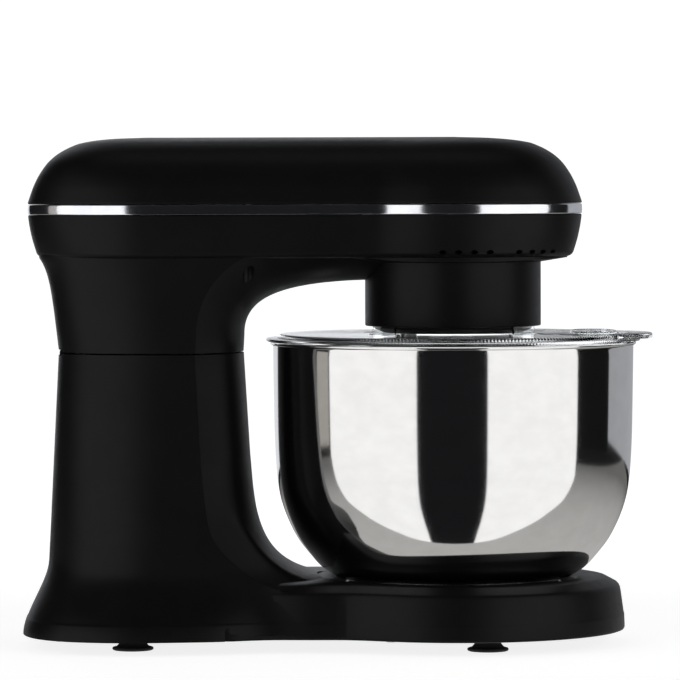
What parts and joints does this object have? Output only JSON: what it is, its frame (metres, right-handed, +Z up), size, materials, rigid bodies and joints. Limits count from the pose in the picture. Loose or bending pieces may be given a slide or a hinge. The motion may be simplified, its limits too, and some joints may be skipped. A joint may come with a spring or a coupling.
{
  "type": "tilt-head stand mixer",
  "caption": "Black tilt-head stand mixer with chrome trim band, polished steel bowl, clear splash lid and a planetary beater drive.",
  "frame": {"origin": "on the table under the middle of the whole box", "axes": "+Z up, +X from the column towards the bowl, +Y towards the side with the speed knob"},
  "size_m": [0.3698, 0.22, 0.2973],
  "materials": {
    "black_plastic": "matte moulded texture",
    "dark_plastic": "matte",
    "chrome_trim": "bright plated",
    "polished_steel": "mirror polished",
    "plain_steel": "machined",
    "bronze": "sintered",
    "copper": "lacquered windings",
    "alloy": "cast",
    "nylon": "natural",
    "rubber": "soft",
    "board": "solder mask",
    "clear_plastic": "clear moulded"
  },
  "bodies": {
    "base": {"base_housing": "black_plastic", "base_plate": "dark_plastic", "foot_rear_near": "rubber", "foot_rear_far": "rubber", "foot_front_near": "rubber", "foot_front_far": "rubber", "base_screw_1": "plain_steel", "base_screw_2": "plain_steel", "base_screw_3": "plain_steel", "base_screw_4": "plain_steel", "bowl_clamp_plate": "plain_steel", "hinge_pin": "plain_steel", "cord_gland": "rubber", "control_board": "board", "speed_switch": "dark_plastic", "knob_bezel": "chrome_trim", "latch_spring": "plain_steel"},
    "head": {"head_cover": "black_plastic", "trim_band": "chrome_trim", "head_housing": "black_plastic", "cover_screw_1": "plain_steel", "cover_screw_2": "plain_steel", "cover_screw_3": "plain_steel", "cover_screw_4": "plain_steel", "latch_hook": "plain_steel", "hub_housing": "black_plastic", "ring_gear": "plain_steel", "spindle_bearing_lower": "bronze", "gearbox_plate": "alloy", "spindle_bearing_upper": "bronze", "idler_bearing": "bronze", "motor_stator": "alloy", "motor_bracket": "plain_steel", "motor_bearing": "bronze", "brush_holder_near": "dark_plastic", "brush_holder_far": "dark_plastic", "drive_belt": "rubber"},
    "rotor": {"rotor_core": "copper", "motor_shaft": "plain_steel", "commutator": "bronze", "motor_fan": "dark_plastic", "motor_pulley": "alloy"},
    "idler": {"idler_shaft": "plain_steel", "idler_pinion": "plain_steel", "belt_pulley": "nylon"},
    "planet": {"planet_carrier": "dark_plastic", "central_shaft": "plain_steel", "main_gear": "nylon", "tool_bush": "bronze"},
    "tool": {"tool_shaft": "plain_steel", "tool_pinion": "plain_steel", "drive_pin": "plain_steel", "flat_beater": "alloy"},
    "knob": {"speed_knob": "black_plastic"},
    "button": {"release_button": "black_plastic", "latch_tongue": "plain_steel"},
    "bowl": {"bowl": "polished_steel", "bowl_foot": "plain_steel"},
    "lid": {"splash_lid": "clear_plastic"}
  },
  "joints": [
    {"name": "head_tilt", "type": "hinge", "parent": "base", "child": "head", "pos_m": [-0.1595, 0, 0.1715], "axis": [0, -1, 0], "range_deg": [0, 35]},
    {"name": "planet_spin", "type": "hinge", "parent": "head", "child": "planet", "pos_m": [0.0675, 0, 0.2], "axis": [0, 0, 1], "continuous": true},
    {"name": "motor_spin", "type": "hinge", "parent": "head", "child": "rotor", "pos_m": [-0.112, 0, 0.2], "axis": [0, 0, 1], "continuous": true},
    {"name": "idler_spin", "type": "hinge", "parent": "head", "child": "idler", "pos_m": [0.0255, 0, 0.25], "axis": [0, 0, 1], "continuous": true},
    {"name": "tool_spin", "type": "hinge", "parent": "planet", "child": "tool", "pos_m": [0.0415, 0, 0.2], "axis": [0, 0, 1], "continuous": true},
    {"name": "speed_turn", "type": "hinge", "parent": "base", "child": "knob", "pos_m": [-0.11, 0.0576, 0.096], "axis": [0, 1, 0], "range_deg": [-30, 210]},
    {"name": "release_press", "type": "slide", "parent": "base", "child": "button", "axis": [0, -1, 0], "range_m": [0, 0.004], "stiffness_N_per_m": 900, "deforming": ["latch_spring"]},
    {"name": "bowl_twist", "type": "hinge", "parent": "base", "child": "bowl", "pos_m": [0.0675, 0, 0.04], "axis": [0, 0, 1], "range_deg": [0, 25]},
    {"name": "lid_twist", "type": "hinge", "parent": "head", "child": "lid", "pos_m": [0.0675, 0, 0.18], "axis": [0, 0, 1], "range_deg": [0, 20]}
  ],
  "couplings": [
    {"joint": "idler_spin", "follows": "planet_spin", "ratio": -3.2},
    {"joint": "motor_spin", "follows": "planet_spin", "ratio": -12.089},
    {"joint": "tool_spin", "follows": "planet_spin", "ratio": -2.625}
  ]
}
